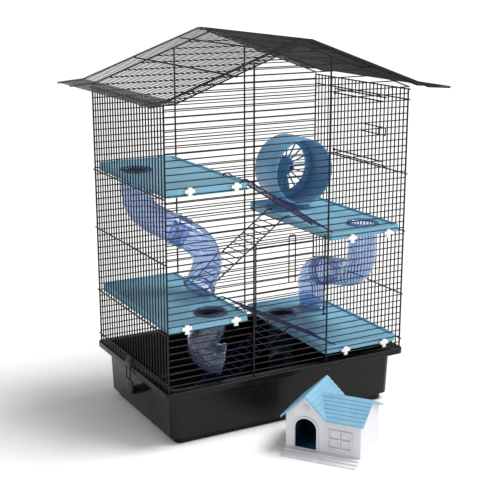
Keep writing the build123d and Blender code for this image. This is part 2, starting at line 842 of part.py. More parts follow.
stand_y = wheel_end_y + stand_gap
axle_start = boss_front - 1
with BuildPart() as wheel_axle:
    add_disc(axle_start, axle_radius, 0, stand_y + stand_thickness + axle_end - axle_start)
save("wheel_axle", wheel_axle.part)

with BuildPart() as wheel_cap:
    add_disc(axle_start - cap_length, axle_radius + cap_wall, 0, cap_length)
save("wheel_cap", wheel_cap.part)

with BuildPart() as wheel_stand:
    base_z = platform_floor(upper_right_top)
    with BuildSketch(wheel_plane(stand_y)):
        Circle(axle_radius + stand_ring)
        with BuildLine():
            Polyline(
                (-axle_radius - stand_ring + 1, 0),
                (axle_radius + stand_ring - 1, 0),
                (stand_foot, base_z - wheel_z),
                (-stand_foot, base_z - wheel_z),
                close=True,
            )
        make_face()
        Circle(axle_radius + weld_gap, mode=Mode.SUBTRACT)
    extrude(amount=stand_thickness)
    base_start = wheel_start_y + base_inset
    base_depth = stand_y + stand_thickness - base_start
    with Locations((wheel_x, base_start + base_depth / 2, base_z + base_height / 2)):
        Box(base_width, base_depth, base_height)
save("wheel_stand", wheel_stand.part)


# ---------------------------------------------------------------- ladders
def make_ladder(name, border_x, towards, middle_y, top, foot, foot_shift):
    """Two rails hooked over a platform border, with rungs between them."""
    inner_x = border_x - towards * hook_half
    outer_x = border_x + towards * hook_half
    hook_top_z = top + seat_gap + ladder_rail
    inner_foot = top - platform_recess + ladder_rail + 0.5
    fall = hook_top_z - foot
    reach = sqrt(ladder_length**2 - fall**2 - foot_shift**2)
    top_point = Vector(outer_x, middle_y, hook_top_z)
    low_point = Vector(outer_x + towards * reach, middle_y + foot_shift, foot)
    slope = (low_point - top_point).normalized()
    with BuildPart() as ladder:
        for offset in (-ladder_width / 2, ladder_width / 2):
            shift = Vector(0, offset, 0)
            points = (
                Vector(inner_x, middle_y, inner_foot) + shift,
                Vector(inner_x, middle_y, hook_top_z) + shift,
                top_point + shift,
                low_point + shift,
            )
            add_bent_wire(points, (3.0, 3.0), ladder_rail)
        count = int((ladder_length - 18) / rung_pitch)
        for index in range(count):
            middle = top_point + slope * (14 + rung_pitch * index)
            half = Vector(0, ladder_width / 2, 0)
            add_wire(tuple(middle - half), tuple(middle + half), ladder_rung)
    save(name, ladder.part)


make_ladder(
    "ladder_1", left_inner - platform_border / 2, 1, -platform_y + 46.0, upper_left_top,
    platform_floor(upper_right_top) + ladder_rail + ladder_foot_gap, 0,
)
make_ladder(
    "ladder_2", right_inner + platform_border / 2, -1, -platform_y + 184.0, upper_right_top,
    lower_left_top + ladder_rail + seat_gap, 0,
)
make_ladder(
    "ladder_3", left_inner - platform_border / 2, 1, -platform_y + 68.0, lower_left_top,
    platform_floor(lower_right_top) + ladder_rail + seat_gap, -26.0,
)
make_ladder(
    "ladder_4", wide_inner + platform_border / 2, -1, -platform_y + 157.0, lower_right_top,
    tray_floor + ladder_rail + seat_gap, 30.0,
)

# ---------------------------------------------------------------- house
house_s = Vector(cos(radians(house_turn)), sin(radians(house_turn)), 0)
house_t = Vector(-sin(radians(house_turn)), cos(radians(house_turn)), 0)
house_origin = Vector(house_corner[0], house_corner[1], 0)
gable_slope = tan(radians(gable_angle))
wing_slope = tan(radians(wing_angle))
eave_left = -8.0
eave_right = gable_middle - eave_left + gable_middle


def front_plane(t):
    """A plane across the house, t behind the front wall, facing the front."""
    return Plane(origin=house_origin + house_t * t, x_dir=house_s, z_dir=-house_t)


def side_plane(s):
    """A plane along the depth of the house, s from its left wall, facing the right."""
    return Plane(origin=house_origin + house_s * s, x_dir=house_t, z_dir=house_s)


def add_gable(drop, left, right, front, back, low, mode):
    """The space under the main roof, a vertical distance under its top surface."""
    top = gable_ridge - drop
    with BuildSketch(front_plane(back)) as profile:
        with BuildLine():
            Polyline(
                (left, low),
                (right, low),
                (right, top - (right - gable_middle) * gable_slope),
                (gable_middle, top),
                (left, top - (gable_middle - left) * gable_slope),
                close=True,
            )
        make_face()
    extrude(profile.sketch, amount=back - front, mode=mode)


def add_wing(drop, left, right, front, back, low, mode):
    """The space under the wing roof."""
    top = wing_ridge - drop
    with BuildSketch(side_plane(left)) as profile:
        with BuildLine():
            Polyline(
                (front, low),
                (back, low),
                (back, top - (back - wing_middle) * wing_slope),
                (wing_middle, top),
                (front, top - (wing_middle - front) * wing_slope),
                close=True,
            )
        make_face()
    extrude(profile.sketch, amount=right - left, mode=mode)


gable_shell = house_shell / cos(radians(gable_angle))
wing_shell = house_shell / cos(radians(wing_angle))
roof_seat = 0.3
eave_back = house_depth + house_overhang

with BuildPart() as house_walls:
    gable_wall_drop = gable_shell + roof_seat
    wing_wall_drop = wing_shell + roof_seat
    add_gable(gable_wall_drop, 0, eave_right - 10, 0, house_depth, 0, Mode.ADD)
    add_wing(wing_wall_drop, gable_middle, house_width, 0, house_depth, 0, Mode.ADD)
    add_gable(
        gable_wall_drop + house_wall,
        house_wall,
        eave_right - 10,
        house_wall,
        house_depth - house_wall,
        house_floor,
        Mode.SUBTRACT,
    )
    add_wing(
        wing_wall_drop + house_wall,
        gable_middle,
        house_width - house_wall,
        house_wall,
        house_depth - house_wall,
        house_floor,
        Mode.SUBTRACT,
    )
    with BuildSketch(front_plane(-1)) as door_hole:
        arch = (door_right - door_left) / 2
        with Locations(((door_left + door_right) / 2, (door_sill + door_top - arch) / 2)):
            Rectangle(2 * arch, door_top - arch - door_sill)
        with Locations(((door_left + door_right) / 2, door_top - arch)):
            Circle(arch)
    extrude(door_hole.sketch, amount=-house_wall - 2, mode=Mode.SUBTRACT)
    with BuildSketch(front_plane(-1)) as window_hole:
        with Locations(((window_left + window_right) / 2, (window_low + window_high) / 2)):
            Rectangle(window_right - window_left, window_high - window_low)
    extrude(window_hole.sketch, amount=-window_recess - 1, mode=Mode.SUBTRACT)
save("house_walls", house_walls.part)

with BuildPart() as house_roof:
    low_eave = gable_ridge - (gable_middle - eave_left) * gable_slope - 12
    roof_end = house_width + house_overhang
    add_gable(0, eave_left, eave_right, -house_overhang, eave_back, low_eave, Mode.ADD)
    add_wing(0, gable_middle, roof_end, -house_overhang, eave_back, low_eave, Mode.ADD)
    hollow_front = -house_overhang - 1
    hollow_back = eave_back + 1
    add_gable(gable_shell, eave_left - 1, eave_right + 1, hollow_front, hollow_back, low_eave - 1, Mode.SUBTRACT)
    add_wing(wing_shell, gable_middle, roof_end + 1, hollow_front, hollow_back, low_eave - 1, Mode.SUBTRACT)
save("house_roof", house_roof.part)

with BuildPart() as house_steps:
    for index in range(step_count):
        rise = step_height * (index + 1) / step_count
        run = step_depth * (1 - index / step_count)
        with BuildSketch(front_plane(-0.1)) as tread:
            with Locations((house_width / 2, rise / 2)):
                Rectangle(house_width, rise)
        extrude(tread.sketch, amount=run)
save("house_steps", house_steps.part)

frame_band = 3.5
frame_proud = 2.0
with BuildPart() as house_door_frame:
    with BuildSketch(front_plane(-0.1)):
        with Locations(((door_left + door_right) / 2, (door_sill + door_top - arch) / 2)):
            Rectangle(2 * (arch + frame_band), door_top - arch - door_sill)
        with Locations(((door_left + door_right) / 2, door_top - arch)):
            Circle(arch + frame_band)
        with Locations(((door_left + door_right) / 2, (door_sill + door_top - arch) / 2)):
            Rectangle(2 * arch, door_top - arch - door_sill, mode=Mode.SUBTRACT)
        with Locations(((door_left + door_right) / 2, door_top - arch)):
            Circle(arch, mode=Mode.SUBTRACT)
    extrude(amount=frame_proud)
save("house_door_frame", house_door_frame.part)

with BuildPart() as house_window:
    pane_x = (window_left + window_right) / 2
    pane_z = (window_low + window_high) / 2
    bar = 2.0
    with BuildSketch(front_plane(-0.1)):
        with Locations((pane_x, pane_z)):
            Rectangle(window_right - window_left + 2 * bar, window_high - window_low + 2 * bar)
        quarter_x = (window_right - window_left - bar) / 2
        quarter_z = (window_high - window_low - bar) / 2
        with Locations((pane_x, pane_z)):
            with GridLocations(quarter_x + bar, quarter_z + bar, 2, 2):
                Rectangle(quarter_x, quarter_z, mode=Mode.SUBTRACT)
    extrude(amount=frame_proud)
save("house_window", house_window.part)

with BuildPart() as house_medallion:
    with BuildSketch(front_plane(-0.1)):
        with Locations((gable_middle, 83.0)):
            Circle(6.5)
    extrude(amount=1.5)
    with BuildSketch(front_plane(-0.1 - 1.5)):
        with Locations((gable_middle, 83.0)):
            Circle(4.5)
    extrude(amount=0.8)
save("house_medallion", house_medallion.part)
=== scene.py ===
from math import cos, pi, radians, sin

import bpy
from bpy.props import FloatProperty, FloatVectorProperty, IntProperty, PointerProperty
from mathutils import Matrix, Vector


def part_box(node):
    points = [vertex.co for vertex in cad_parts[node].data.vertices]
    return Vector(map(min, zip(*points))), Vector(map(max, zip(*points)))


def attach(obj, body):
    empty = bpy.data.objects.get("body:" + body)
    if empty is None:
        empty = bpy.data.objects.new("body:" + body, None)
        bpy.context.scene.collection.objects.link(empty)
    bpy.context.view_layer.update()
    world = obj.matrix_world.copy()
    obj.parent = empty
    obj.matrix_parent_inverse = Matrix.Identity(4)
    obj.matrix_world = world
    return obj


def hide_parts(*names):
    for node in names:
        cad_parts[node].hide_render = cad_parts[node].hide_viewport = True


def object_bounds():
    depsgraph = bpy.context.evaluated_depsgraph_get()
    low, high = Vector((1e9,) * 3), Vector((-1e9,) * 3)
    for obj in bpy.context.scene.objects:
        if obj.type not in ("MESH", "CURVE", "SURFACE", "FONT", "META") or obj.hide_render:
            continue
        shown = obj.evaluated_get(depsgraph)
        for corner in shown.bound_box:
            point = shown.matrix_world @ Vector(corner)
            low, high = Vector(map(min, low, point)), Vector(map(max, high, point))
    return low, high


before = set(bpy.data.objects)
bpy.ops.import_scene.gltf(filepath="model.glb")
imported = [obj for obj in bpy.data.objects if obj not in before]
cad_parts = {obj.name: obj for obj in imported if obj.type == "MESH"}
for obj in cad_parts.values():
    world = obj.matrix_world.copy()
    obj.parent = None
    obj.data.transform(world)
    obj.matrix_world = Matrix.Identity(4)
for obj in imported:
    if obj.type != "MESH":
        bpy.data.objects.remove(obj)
cad_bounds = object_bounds()

bl_info = {
    "name": "Hamster cage finishes",
    "version": (1, 0, 0),
    "blender": (4, 5, 0),
    "location": "View3D > Sidebar > Cage",
    "description": "Models and finishes the visible pieces of a hamster cage",
    "category": "Object",
}

MM = 0.001
PLACES = ("upper_left", "lower_left", "upper_right", "lower_right")
WIRE_NODES = (
    "front_panel", "back_panel", "left_panel", "right_panel", "roof_left", "roof_right", "ridge_wire",
    "front_door", "front_latch", "right_door", "right_latch", "left_clip_loop", "right_clip_loop",
)
TUBE_NODES = (
    "left_tube_upper", "left_tube_lower", "right_tube_upper", "right_tube_lower", "left_floor_elbow",
    "right_floor_elbow",
)
MOUTH_NODES = ("mouth_ring_left", "mouth_ring_right", "mouth_ring_left_floor", "mouth_ring_right_floor")


def toLinear(code):
    """An sRGB hex colour as linear red, green and blue."""
    channels = [int(code[place:place + 2], 16) / 255 for place in (0, 2, 4)]
    return [value / 12.92 if value <= 0.04045 else ((value + 0.055) / 1.055) ** 2.4 for value in channels]


def colour(name, description, code):
    return FloatVectorProperty(
        name=name, description=description, subtype="COLOR", size=3, default=toLinear(code)
    )


def length(name, description, millimetres):
    return FloatProperty(name=name, description=description, unit="LENGTH", default=millimetres * MM)


class CageColours(bpy.types.PropertyGroup):
    """Colours of the finishes."""

    wire: colour("Wire", "Epoxy coat of the wires", "070708")
    tray: colour("Tray", "Moulded tray", "0A0A0B")
    platform: colour("Platform", "Moulded platforms", "88C4E0")
    tube: colour("Tube", "Tint of the clear tubes", "CBDAF5")
    wheel: colour("Wheel", "Moulded wheel", "6FA8D0")
    ladder: colour("Ladder", "Enamel of the ladders", "22225A")
    roof: colour("House roof", "Moulded roof of the house", "7AA9C2")
    wall: colour("House wall", "Moulded walls of the house", "D0D0D5")
    # The inside colour is the blue of the moulding, made dark as painted shade for the unlit inside of the
    # house.
    lining_and_painted_shade: colour("House lining", "Inside of the house", "2C567A")
    clip: colour("Clip", "Platform clips", "F0F0EE")
    floor: colour("Floor", "Studio floor", "F4F4F3")


class CageSizes(bpy.types.PropertyGroup):
    """Sizes of what is modelled here."""

    moulded_edge: length("Moulded edge", "Radius of the edges of moulded pieces", 0.7)
    tray_edge: length("Tray edge", "Radius of the edges of the tray", 1.1)
    fine_edge: length("Fine edge", "Radius of the edges of small moulded pieces", 0.4)
    stand_edge: length("Stand edge", "Radius of the edges of the wheel's stand", 0.8)
    window_edge: length("Window edge", "Radius of the edges of the glazing bars", 0.15)
    wheel_wall: length("Wheel wall", "Wall of the drum of the wheel", 2.5)
    drum_edge: length("Drum edge", "Radius of the edges of the drum", 0.8)
    hub_plate: length("Hub plate", "Thickness of the plate and the spokes", 3.0)
    hub_disc: length("Hub disc", "Radius of the disc of the hub", 20.0)
    hub_boss: length("Hub boss", "Radius of the front of the hub", 7.5)
    hub_bore: length("Hub bore", "Radius of the bore of the hub", 3.05)
    roof_shell: length("Roof shell", "Thickness of the roof of the house", 3.0)
    tread_pitch: length("Tread pitch", "Distance between the treads inside the wheel", 4.4)
    tread_height: length("Tread height", "Height of the treads inside the wheel", 1.0)
    front_lip: length("Front lip", "Width of the lip round the front of the wheel", 3.5)
    back_lip: length("Back lip", "Width of the ring round the back of the wheel", 14.0)
    spoke_width: length("Spoke width", "Width of a spoke of the wheel", 2.6)
    spokes: IntProperty(name="Spokes", description="Number of spokes", default=18, min=3)
    board: length("Roof board", "Width of a lapped board on the roof of the house", 8.6)
    lap: length("Lap", "Step between the boards", 1.0)
    house_turn: FloatProperty(
        name="House turn", description="Turn of the house about the vertical", subtype="ANGLE",
        default=radians(-53),
    )
    camera_turn: FloatProperty(
        name="Camera turn", description="Heading of the camera, from the back to the right", subtype="ANGLE",
        default=radians(28.98),
    )
    camera_dip: FloatProperty(
        name="Camera dip", description="How far the camera looks down", subtype="ANGLE",
        default=radians(14.78),
    )
    camera_lens: FloatProperty(name="Lens", description="Focal length in millimetres", default=78.55)
    camera_place: FloatVectorProperty(
        name="Camera place", description="Where the camera stands", unit="LENGTH", size=3,
        default=(-0.9509, -1.7208, 0.8088),
    )


class CageLights(bpy.types.PropertyGroup):
    """Strengths of the studio lights."""

    sky: FloatProperty(name="Sky", description="Strength of the even light all round", default=0.4)
    sun: FloatProperty(name="High bank", description="Strength of the large high light", default=3.2)
    left: FloatProperty(name="Left strip", description="Power of the strip on the left, in watts", default=5)
    front: FloatProperty(name="Front strip", description="Power of the strip in front, in watts", default=7)


# ---------------------------------------------------------------- materials
def add_node(tree, kind, inputs=None, **settings):
    """A node with its settings, its fixed values and the sockets that feed it."""
    node = tree.nodes.new(kind)
    for name, value in settings.items():
        setattr(node, name, value)
    for name, value in (inputs or {}).items():
        if isinstance(value, bpy.types.NodeSocket):
            tree.links.new(value, node.inputs[name])
        else:
            node.inputs[name].default_value = value
    return node


def shade(code, factor):
    """A linear colour made darker or lighter, with its alpha."""
    return [min(channel * factor, 1) for channel in code] + [1]


def new_material(name):
    """An empty node material with its output: the tree, and the place on the object."""
    material = bpy.data.materials.new(name)
    material.use_nodes = True
    tree = material.node_tree
    tree.nodes.clear()
    place = add_node(tree, "ShaderNodeTexCoord").outputs["Object"]
    return material, tree, place


def close_material(tree, shader):
    add_node(tree, "ShaderNodeOutputMaterial", {"Surface": shader.outputs["BSDF"]})


def coated_wire(name, tint, roughness):
    """Dip-coated steel wire: a soft gloss with a slight orange peel and thin spots that look lighter."""
    material, tree, place = new_material(name)
    thin = add_node(tree, "ShaderNodeTexNoise", {"Vector": place, "Scale": 1 / (14 * MM), "Detail": 3})
    ramp = add_node(tree, "ShaderNodeValToRGB", {"Fac": thin.outputs["Fac"]})
    ramp.color_ramp.elements[0].position = 0.35
    ramp.color_ramp.elements[0].color = shade(tint, 0.75)
    ramp.color_ramp.elements[1].position = 0.75
    ramp.color_ramp.elements[1].color = shade(tint, 1.4)
    peel = add_node(tree, "ShaderNodeTexNoise", {"Vector": place, "Scale": 1 / (1.6 * MM), "Detail": 2})
    bump = add_node(
        tree, "ShaderNodeBump", {"Height": peel.outputs["Fac"], "Strength": 0.2, "Distance": 0.06 * MM}
    )
    gloss = add_node(
        tree, "ShaderNodeMapRange",
        {"Value": thin.outputs["Fac"], "To Min": roughness - 0.06, "To Max": roughness + 0.1},
    )
    shader = add_node(tree, "ShaderNodeBsdfPrincipled", {
        "Base Color": ramp.outputs["Color"], "Roughness": gloss.outputs["Result"], "IOR": 1.5,
        "Specular IOR Level": 0.3, "Normal": bump.outputs["Normal"],
    })
    close_material(tree, shader)
    return material


def moulded_plastic(name, tint, roughness, grain, depth, flow, specular=0.5):
    """Injection-moulded plastic: a fine spark grain, faint flow marks, and a painted highlight that makes the
    sharp edges a little lighter.
    """
    material, tree, place = new_material(name)
    marks = add_node(
        tree, "ShaderNodeTexNoise",
        {"Vector": place, "Scale": 1 / (flow * MM), "Detail": 4, "Distortion": 0.6},
    )
    ramp = add_node(tree, "ShaderNodeValToRGB", {"Fac": marks.outputs["Fac"]})
    ramp.color_ramp.elements[0].position = 0.3
    ramp.color_ramp.elements[0].color = shade(tint, 0.92)
    ramp.color_ramp.elements[1].position = 0.72
    ramp.color_ramp.elements[1].color = shade(tint, 1.07)
    # Painted highlight: where pointiness finds a sharp edge, the colour is mixed towards a lighter tint.
    edge = add_node(tree, "ShaderNodeMapRange", {
        "Value": add_node(tree, "ShaderNodeNewGeometry").outputs["Pointiness"],
        "From Min": 0.52, "From Max": 0.62, "To Max": 0.35,
    })
    edge_painted_highlight = add_node(
        tree, "ShaderNodeMix",
        {0: edge.outputs["Result"], 6: ramp.outputs["Color"], 7: shade([0.03 + 1.15 * c for c in tint], 1)},
        data_type="RGBA",
    )
    sparks = add_node(tree, "ShaderNodeTexNoise", {"Vector": place, "Scale": 1 / (grain * MM), "Detail": 5})
    bump = add_node(
        tree, "ShaderNodeBump", {"Height": sparks.outputs["Fac"], "Strength": 0.35, "Distance": depth * MM}
    )
    gloss = add_node(
        tree, "ShaderNodeMapRange",
        {"Value": marks.outputs["Fac"], "To Min": roughness - 0.05, "To Max": roughness + 0.08},
    )
    shader = add_node(tree, "ShaderNodeBsdfPrincipled", {
        "Base Color": edge_painted_highlight.outputs[2], "Roughness": gloss.outputs["Result"], "IOR": 1.49,
        "Specular IOR Level": specular, "Normal": bump.outputs["Normal"],
    })
    close_material(tree, shader)
    return material


def clear_plastic(name, tint):
    """Tinted polystyrene: clear, deeper where the light runs along the wall, with faint draw lines."""
    material, tree, place = new_material(name)
    cloud = add_node(tree, "ShaderNodeTexNoise", {"Vector": place, "Scale": 1 / (22 * MM), "Detail": 3})
    ramp = add_node(tree, "ShaderNodeValToRGB", {"Fac": cloud.outputs["Fac"]})
    ramp.color_ramp.elements[0].position = 0.3
    ramp.color_ramp.elements[0].color = shade(tint, 0.95)
    ramp.color_ramp.elements[1].position = 0.7
    ramp.color_ramp.elements[1].color = shade(tint, 1.03)
    ripple = add_node(tree, "ShaderNodeTexNoise", {"Vector": place, "Scale": 1 / (9 * MM), "Detail": 1})
    bump = add_node(
        tree, "ShaderNodeBump", {"Height": ripple.outputs["Fac"], "Strength": 0.06, "Distance": 0.1 * MM}
    )
    gloss = add_node(
        tree, "ShaderNodeMapRange", {"Value": cloud.outputs["Fac"], "To Min": 0.02, "To Max": 0.06}
    )
    shader = add_node(tree, "ShaderNodeBsdfPrincipled", {
        "Base Color": ramp.outputs["Color"], "Roughness": gloss.outputs["Result"], "IOR": 1.45,
        "Transmission Weight": 0.94, "Normal": bump.outputs["Normal"],
    })
    close_material(tree, shader)
    return material


def turned_steel(name):
    """Bright turned steel: fine rings from the tool round the shaft."""
    material, tree, place = new_material(name)
    rings = add_node(
        tree, "ShaderNodeTexWave", {"Vector": place, "Scale": 1 / (6.3 * 0.5 * MM), "Distortion": 0.4},
        bands_direction="Y",
    )
    bump = add_node(
        tree, "ShaderNodeBump", {"Height": rings.outputs["Fac"], "Strength": 0.2, "Distance": 0.05 * MM}
    )
    gloss = add_node(
        tree, "ShaderNodeMapRange", {"Value": rings.outputs["Fac"], "To Min": 0.22, "To Max": 0.32}
    )
    shader = add_node(tree, "ShaderNodeBsdfPrincipled", {
        "Base Color": toLinear("B4B4B6") + [1], "Metallic": 1, "Roughness": gloss.outputs["Result"],
        "Normal": bump.outputs["Normal"],
    })
    close_material(tree, shader)
    return material


def studio_paper(name, tint):
    """Background paper: matt, with a faint fibre."""
    material, tree, place = new_material(name)
    fibre = add_node(tree, "ShaderNodeTexNoise", {"Vector": place, "Scale": 1 / (4 * MM), "Detail": 3})
    ramp = add_node(tree, "ShaderNodeValToRGB", {"Fac": fibre.outputs["Fac"]})
    ramp.color_ramp.elements[0].color = shade(tint, 0.99)
    ramp.color_ramp.elements[1].color = shade(tint, 1.01)
    shader = add_node(
        tree, "ShaderNodeBsdfPrincipled", {"Base Color": ramp.outputs["Color"], "Roughness": 0.9}
    )
    close_material(tree, shader)
    return material


def finish_material(kind):
    """The material of one kind, made when it is first asked for."""
    colours = bpy.context.scene.cage_colours
    moulded = {
        "Moulded polypropylene tray": (colours.tray, 0.26, 1.5, 0.04, 60, 0.22),
        "Moulded polystyrene platform": (colours.platform, 0.36, 1.2, 0.04, 45),
        "Moulded polystyrene wheel": (colours.wheel, 0.34, 1.2, 0.03, 40),
        "Moulded nylon clip": (colours.clip, 0.4, 1.0, 0.03, 12),
        "Moulded black nylon": (colours.wire, 0.42, 1.0, 0.05, 12),
        "Moulded styrene house roof": (colours.roof, 0.42, 1.0, 0.05, 26),
        # Inner wall faces: moulded blue, darkened as painted shade.
        "Moulded styrene lining": (colours.lining_and_painted_shade, 0.5, 1.1, 0.06, 30),
        "Moulded styrene house wall": (colours.wall, 0.5, 1.1, 0.06, 30),
    }
    others = {
        "Epoxy coated wire": lambda: coated_wire(kind, colours.wire, 0.42),
        "Enamelled ladder wire": lambda: coated_wire(kind, colours.ladder, 0.28),
        "Clear tinted polystyrene": lambda: clear_plastic(kind, colours.tube),
        "Turned steel": lambda: turned_steel(kind),
        "Studio paper": lambda: studio_paper(kind, colours.floor),
    }
    made = bpy.data.materials.get(kind)
    if made:
        return made
    if kind in moulded:
        return moulded_plastic(kind, *moulded[kind])
    return others[kind]()


# ---------------------------------------------------------------- modelling by hand, in code
def deselect():
    if bpy.context.mode != "OBJECT":
        bpy.ops.object.mode_set(mode="OBJECT")
    bpy.ops.object.select_all(action="DESELECT")


def pick_out(piece):
    """Select one piece alone and make it active."""
    deselect()
    piece.select_set(True)
    bpy.context.view_layer.objects.active = piece


def select_points(piece, test):
    """Select the points of a piece that pass a test, and stay in edit mode."""
    bpy.ops.object.mode_set(mode="EDIT")
    bpy.ops.mesh.select_mode(type="VERT")
    bpy.ops.mesh.select_all(action="DESELECT")
    bpy.ops.object.mode_set(mode="OBJECT")
    for point in piece.data.vertices:
        point.select = test(point.co)
    bpy.ops.object.mode_set(mode="EDIT")


def close_mesh(gap=0.01 * MM):
    """Merge the doubles of the mesh being edited and turn its faces outwards."""
    bpy.ops.mesh.select_all(action="SELECT")
    bpy.ops.mesh.remove_doubles(threshold=gap)
    bpy.ops.mesh.normals_make_consistent(inside=False)
    bpy.ops.object.mode_set(mode="OBJECT")


def place_piece(piece, matrix):
    """Put a piece in its place and leave the place in its mesh."""
    pick_out(piece)
    piece.matrix_world = matrix @ piece.matrix_world
    bpy.ops.object.transform_apply(location=True, rotation=True, scale=True)


def apply_bevel(piece, width, segments=2, angle=30):
    """Round the sharp edges of a piece."""
    pick_out(piece)
    bevel = piece.modifiers.new("Rounded edges", "BEVEL")
    bevel.width = width
    bevel.segments = segments
    bevel.limit_method = "ANGLE"
    bevel.angle_limit = radians(angle)
    bevel.use_clamp_overlap = False
    bevel.harden_normals = False
    bpy.ops.object.modifier_apply(modifier=bevel.name)


def turned(profile, sides, centre, axis, closed=True):
    """A solid turned about an axis: its profile is a list of (radius, height) points."""
    smallest = 0.02 * MM
    points = [(max(radius, smallest), height) for radius, height in profile]
    deselect()
    radius, height = points[0]
    bpy.ops.mesh.primitive_circle_add(vertices=sides, radius=radius, fill_type="NOTHING", location=(0, 0, 0))
    piece = bpy.context.object
    bpy.ops.object.mode_set(mode="EDIT")
    bpy.ops.transform.translate(value=(0, 0, height))
    for next_radius, next_height in points[1:] + (points[:1] if closed else []):
        bpy.ops.mesh.extrude_edges_move(TRANSFORM_OT_translate={"value": (0, 0, next_height - height)})
        grow = next_radius / radius
        bpy.ops.transform.resize(value=(grow, grow, 1), center_override=(0, 0, 0))
        radius, height = next_radius, next_height
    close_mesh(2.5 * smallest if not closed else 0.01 * MM)
    place_piece(piece, Matrix.Translation(centre) @ Vector(axis).to_track_quat("Z", "Y").to_matrix().to_4x4())
    return piece


def drawn(outline, start, end, turn=0):
    """A solid drawn along X from its outline of (y, z) points, then turned about the vertical."""
    deselect()
    bpy.ops.mesh.primitive_plane_add(size=1, location=(0, 0, 0))
    piece = bpy.context.object
    select_points(piece, lambda co: co.y > 0)
    bpy.ops.mesh.delete(type="VERT")
    bpy.ops.mesh.select_all(action="SELECT")
    y, z = outline[0]
    bpy.ops.transform.resize(value=(end - start, 1, 1), center_override=(0, 0, 0))
    bpy.ops.transform.translate(value=((start + end) / 2, 0.5 + y, z))
    for next_y, next_z in outline[1:] + outline[:1]:
        bpy.ops.mesh.extrude_edges_move(TRANSFORM_OT_translate={"value": (0, next_y - y, next_z - z)})
        y, z = next_y, next_z
    bpy.ops.mesh.select_all(action="SELECT")
    bpy.ops.mesh.remove_doubles(threshold=0.01 * MM)
    bpy.ops.mesh.fill_holes(sides=0)
    close_mesh()
    place_piece(piece, Matrix.Rotation(turn, 4, "Z"))
    return piece


def combine(piece, other, operation):
    """Join another solid to a piece, or take it away."""
    pick_out(piece)
    change = piece.modifiers.new("Combine", "BOOLEAN")
    change.operation = operation
    change.object = other
    change.solver = "EXACT"
    bpy.ops.object.modifier_apply(modifier=change.name)
    bpy.data.objects.remove(other)


def softened(node, width=0.0, segments=2):
    """A copy of a CAD piece with its facets merged and, given a width, its edges rounded."""
    piece = bpy.data.objects.new(f"{node}_moulded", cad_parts[node].data.copy())
    bpy.context.scene.collection.objects.link(piece)
    pick_out(piece)
    bpy.ops.mesh.customdata_custom_splitnormals_clear()
    bpy.ops.object.mode_set(mode="EDIT")
    bpy.ops.mesh.select_all(action="SELECT")
    bpy.ops.mesh.remove_doubles(threshold=0.002 * MM)
    if width:
        bpy.ops.mesh.dissolve_limited(angle_limit=radians(0.5))
    bpy.ops.object.mode_set(mode="OBJECT")
    if width:
        apply_bevel(piece, width, segments)
    return piece


def ringed(piece, count, centre, axis):
    """Copies of a piece round an axis, all joined into it."""
    copies = [piece]
    for index in range(1, count):
        copy = piece.copy()
        copy.data = piece.data.copy()
        bpy.context.scene.collection.objects.link(copy)
        spin = Matrix.Rotation(2 * pi * index / count, 4, axis)
        place_piece(copy, Matrix.Translation(centre) @ spin @ Matrix.Translation(-centre))
        copies.append(copy)
    join_pieces(copies)
    return piece


def join_pieces(pieces):
    """Join several pieces into the first."""
    deselect()
    for piece in pieces:
        piece.select_set(True)
    bpy.context.view_layer.objects.active = pieces[0]
    bpy.ops.object.join()
    return pieces[0]


def give_finish(piece, kind):
    """Cover a whole piece with one material."""
    piece.data.materials.clear()
    piece.data.materials.append(finish_material(kind))


def finish_piece(piece, name, body, slot, kind, *nodes, angle=35):
    """Name a piece, shade and cover it, and hand it to its body."""
    pick_out(piece)
    bpy.ops.object.shade_smooth_by_angle(angle=radians(angle))
    piece.name = name
    piece.data.name = name
    give_finish(piece, kind)
    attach(piece, body)
    if nodes:
        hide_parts(*nodes)


def cover_node(node, kind):
    """Give a CAD piece its finish."""
    for material_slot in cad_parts[node].material_slots:
        material_slot.material = finish_material(kind)


def middle_and_axis(node):
    """The middle of a ring-shaped CAD piece and the direction its flat ends face."""
    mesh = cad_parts[node].data
    areas = {}
    for face in mesh.polygons:
        key = tuple(round(value, 2) for value in face.normal)
        areas[key] = areas.get(key, 0) + face.area
    axis = Vector(max(areas, key=areas.get)).normalized()
    heights = [point.co.dot(axis) for point in mesh.vertices]
    middle = sum((point.co for point in mesh.vertices), Vector()) / len(mesh.vertices)
    half = (max(heights) - min(heights)) / 2
    return middle + axis * ((max(heights) + min(heights)) / 2 - middle.dot(axis)), axis, half


def in_house(node):
    """The points of a node of the house, along and across the house."""
    turn = Matrix.Rotation(-bpy.context.scene.cage_sizes.house_turn, 3, "Z")
    return [turn @ point.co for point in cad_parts[node].data.vertices]


